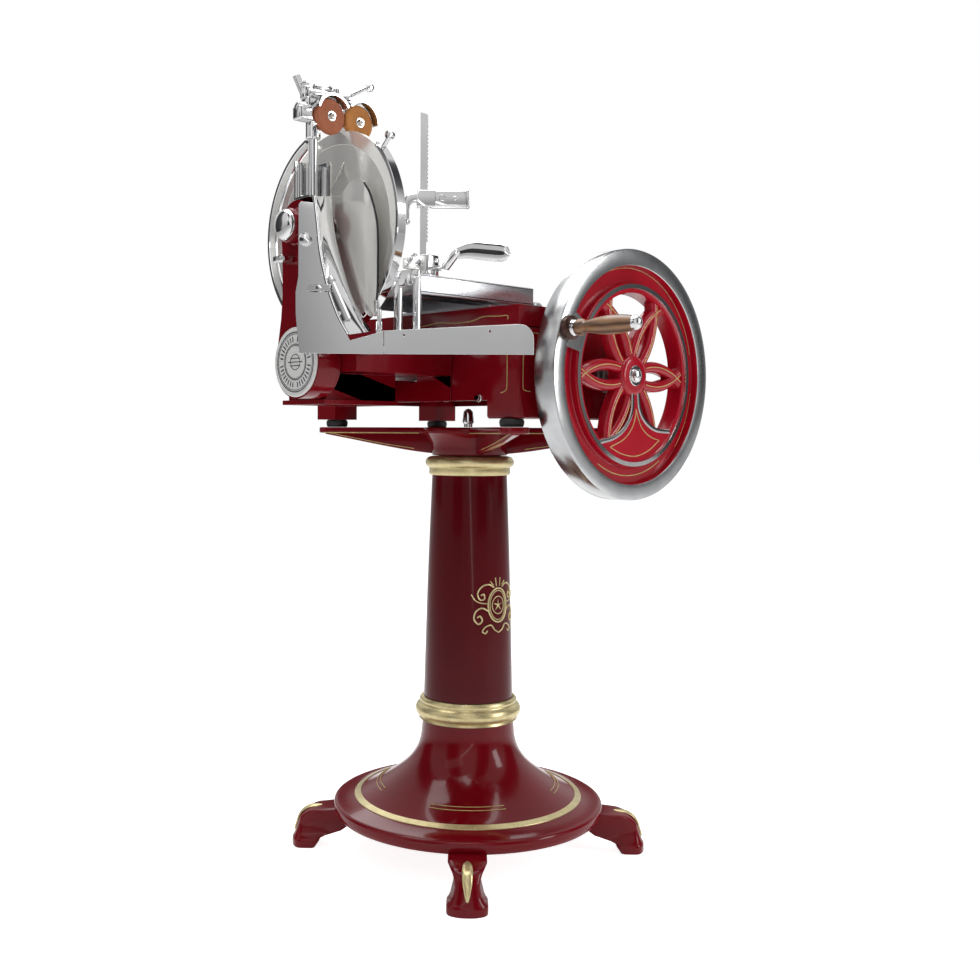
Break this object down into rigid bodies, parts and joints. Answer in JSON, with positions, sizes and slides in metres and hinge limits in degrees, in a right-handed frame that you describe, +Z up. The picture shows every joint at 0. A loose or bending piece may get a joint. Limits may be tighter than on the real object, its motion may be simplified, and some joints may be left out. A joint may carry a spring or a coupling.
{
  "type": "flywheel meat slicer",
  "caption": "Hand-cranked flywheel meat slicer on a cast pedestal, with circular blade, sliding meat table, sharpener and spoked flywheel.",
  "frame": {"origin": "centre of the bounding box in X and Y, on the floor", "axes": "+Z up; -Y towards the operator; the blade's plane faces -X; the flywheel turns about an axis along Y"},
  "size_m": [0.7698, 0.7521, 1.4051],
  "materials": {
    "pedestal_base": "glossy burgundy enamel",
    "column": "glossy burgundy enamel",
    "stand_head": "glossy burgundy enamel",
    "base_casting": "glossy burgundy enamel",
    "gear_housing": "glossy burgundy enamel",
    "carriage_track": "glossy burgundy enamel",
    "arm_case": "glossy burgundy enamel",
    "arm_cover": "glossy burgundy enamel",
    "arm_hub": "glossy burgundy enamel",
    "flywheel_web": "glossy burgundy enamel",
    "lower_collar": "gold paint",
    "upper_collar": "gold paint",
    "rubber_pad_1": "matt",
    "rubber_pad_2": "matt",
    "rubber_pad_3": "matt",
    "rubber_pad_4": "matt",
    "head_bolt": "polished",
    "arm_cap": "polished",
    "ring_guard": "polished",
    "guard_bracket": "polished",
    "slice_guard": "polished",
    "slice_tray": "polished",
    "wing_nut": "polished",
    "slice_deflector": "polished",
    "rack_post": "polished",
    "post_clamp": "polished",
    "press_arm": "polished",
    "clamp_lever": "polished",
    "sharpener_bracket": "polished",
    "sharpener_post": "polished",
    "sharpener_body": "polished",
    "sharpener_lever": "polished",
    "spindle_left": "polished",
    "spindle_right": "polished",
    "blade": "polished",
    "flywheel_rim": "polished",
    "hub_bolt": "polished",
    "handle_stud": "polished",
    "shaft_bush": "machined",
    "flywheel_shaft": "machined",
    "drive_bevel_gear": "machined",
    "cross_bevel_gear": "machined",
    "cross_shaft": "machined",
    "cross_sprocket": "machined",
    "crank_plate": "machined",
    "crank_pin": "machined",
    "drive_chain": "machined",
    "blade_shaft": "machined",
    "blade_sprocket": "machined",
    "slide_rod_1": "machined",
    "slide_rod_2": "machined",
    "tray_bracket": "machined",
    "deflector_pin": "machined",
    "feed_screw": "machined",
    "carriage_plate": "satin",
    "meat_table": "satin",
    "handle_grip": "varnished walnut",
    "badge_plate": "white enamel",
    "stone_left": "gritty sharpening stone",
    "stone_right": "gritty sharpening stone"
  },
  "bodies": {
    "frame": {"pedestal_base": "pedestal_base", "column": "column", "stand_head": "stand_head", "base_casting": "base_casting", "gear_housing": "gear_housing", "carriage_track": "carriage_track", "arm_case": "arm_case", "arm_cover": "arm_cover", "arm_hub": "arm_hub", "lower_collar": "lower_collar", "upper_collar": "upper_collar", "rubber_pad_1": "rubber_pad_1", "rubber_pad_2": "rubber_pad_2", "rubber_pad_3": "rubber_pad_3", "rubber_pad_4": "rubber_pad_4", "head_bolt": "head_bolt", "arm_cap": "arm_cap", "ring_guard": "ring_guard", "guard_bracket": "guard_bracket", "slice_guard": "slice_guard", "slice_tray": "slice_tray", "sharpener_bracket": "sharpener_bracket", "sharpener_post": "sharpener_post", "shaft_bush": "shaft_bush", "drive_chain": "drive_chain", "slide_rod_1": "slide_rod_1", "slide_rod_2": "slide_rod_2", "tray_bracket": "tray_bracket", "badge_plate": "badge_plate"},
    "flywheel": {"flywheel_rim": "flywheel_rim", "flywheel_web": "flywheel_web", "flywheel_shaft": "flywheel_shaft", "hub_bolt": "hub_bolt", "handle_stud": "handle_stud", "drive_bevel_gear": "drive_bevel_gear"},
    "grip": {"handle_grip": "handle_grip"},
    "cross_drive": {"cross_shaft": "cross_shaft", "cross_bevel_gear": "cross_bevel_gear", "cross_sprocket": "cross_sprocket", "crank_plate": "crank_plate", "crank_pin": "crank_pin"},
    "blade_unit": {"blade": "blade", "blade_shaft": "blade_shaft", "blade_sprocket": "blade_sprocket"},
    "carriage": {"carriage_plate": "carriage_plate"},
    "screw": {"feed_screw": "feed_screw"},
    "table": {"meat_table": "meat_table", "rack_post": "rack_post", "post_clamp": "post_clamp"},
    "press": {"press_arm": "press_arm"},
    "lever": {"clamp_lever": "clamp_lever"},
    "sharpener": {"sharpener_body": "sharpener_body", "sharpener_lever": "sharpener_lever"},
    "left_stone": {"stone_left": "stone_left", "spindle_left": "spindle_left"},
    "right_stone": {"stone_right": "stone_right", "spindle_right": "spindle_right"},
    "deflector": {"slice_deflector": "slice_deflector", "deflector_pin": "deflector_pin"},
    "nut": {"wing_nut": "wing_nut"}
  },
  "joints": [
    {"name": "flywheel_turn", "type": "hinge", "parent": "frame", "child": "flywheel", "pos_m": [0.16368, -0.20255, 0.912], "axis": [0, 1, 0], "continuous": true},
    {"name": "grip_spin", "type": "hinge", "parent": "flywheel", "child": "grip", "pos_m": [-0.02032, -0.30255, 0.984], "axis": [0, -1, 0], "continuous": true},
    {"name": "cross_shaft_turn", "type": "hinge", "parent": "frame", "child": "cross_drive", "pos_m": [-0.12032, 0.09745, 0.912], "axis": [1, 0, 0], "continuous": true},
    {"name": "blade_turn", "type": "hinge", "parent": "frame", "child": "blade_unit", "pos_m": [-0.25432, 0.09745, 1.1534], "axis": [1, 0, 0], "continuous": true},
    {"name": "carriage_travel", "type": "slide", "parent": "frame", "child": "carriage", "axis": [0, 1, 0], "range_m": [-0.07, 0.18]},
    {"name": "table_feed", "type": "slide", "parent": "carriage", "child": "table", "axis": [1, 0, 0], "range_m": [-0.01, 0.09]},
    {"name": "feed_screw_turn", "type": "hinge", "parent": "carriage", "child": "screw", "pos_m": [0.07968, 0.03245, 1.0495], "axis": [1, 0, 0], "range_deg": [-181, 1621]},
    {"name": "press_height", "type": "slide", "parent": "table", "child": "press", "axis": [0, 0, 1], "range_m": [-0.05, 0.1]},
    {"name": "clamp_lever_turn", "type": "hinge", "parent": "table", "child": "lever", "pos_m": [-0.16632, -0.08255, 1.084], "axis": [0, 1, 0], "range_deg": [-30, 60]},
    {"name": "sharpener_height", "type": "slide", "parent": "frame", "child": "sharpener", "axis": [0, 0, 1], "range_m": [-0.001, 0.03]},
    {"name": "left_stone_spin", "type": "hinge", "parent": "sharpener", "child": "left_stone", "pos_m": [-0.28832, 0.06745, 1.337], "axis": [0, -1, 0], "continuous": true},
    {"name": "right_stone_spin", "type": "hinge", "parent": "sharpener", "child": "right_stone", "pos_m": [-0.22682, 0.06745, 1.337], "axis": [0, -1, 0], "continuous": true},
    {"name": "deflector_swing", "type": "hinge", "parent": "frame", "child": "deflector", "pos_m": [-0.27432, -0.04505, 1.05], "axis": [0, 0, 1], "range_deg": [-4, 5]},
    {"name": "wing_nut_turn", "type": "hinge", "parent": "frame", "child": "nut", "pos_m": [-0.35952, 0.00175, 1.04], "axis": [-0.7705, -0.6374, 0], "continuous": true}
  ],
  "couplings": [
    {"joint": "cross_shaft_turn", "follows": "flywheel_turn", "ratio": -1},
    {"joint": "blade_turn", "follows": "flywheel_turn", "ratio": -1},
    {"joint": "feed_screw_turn", "follows": "table_feed", "rad_per_m": 314.16}
  ]
}
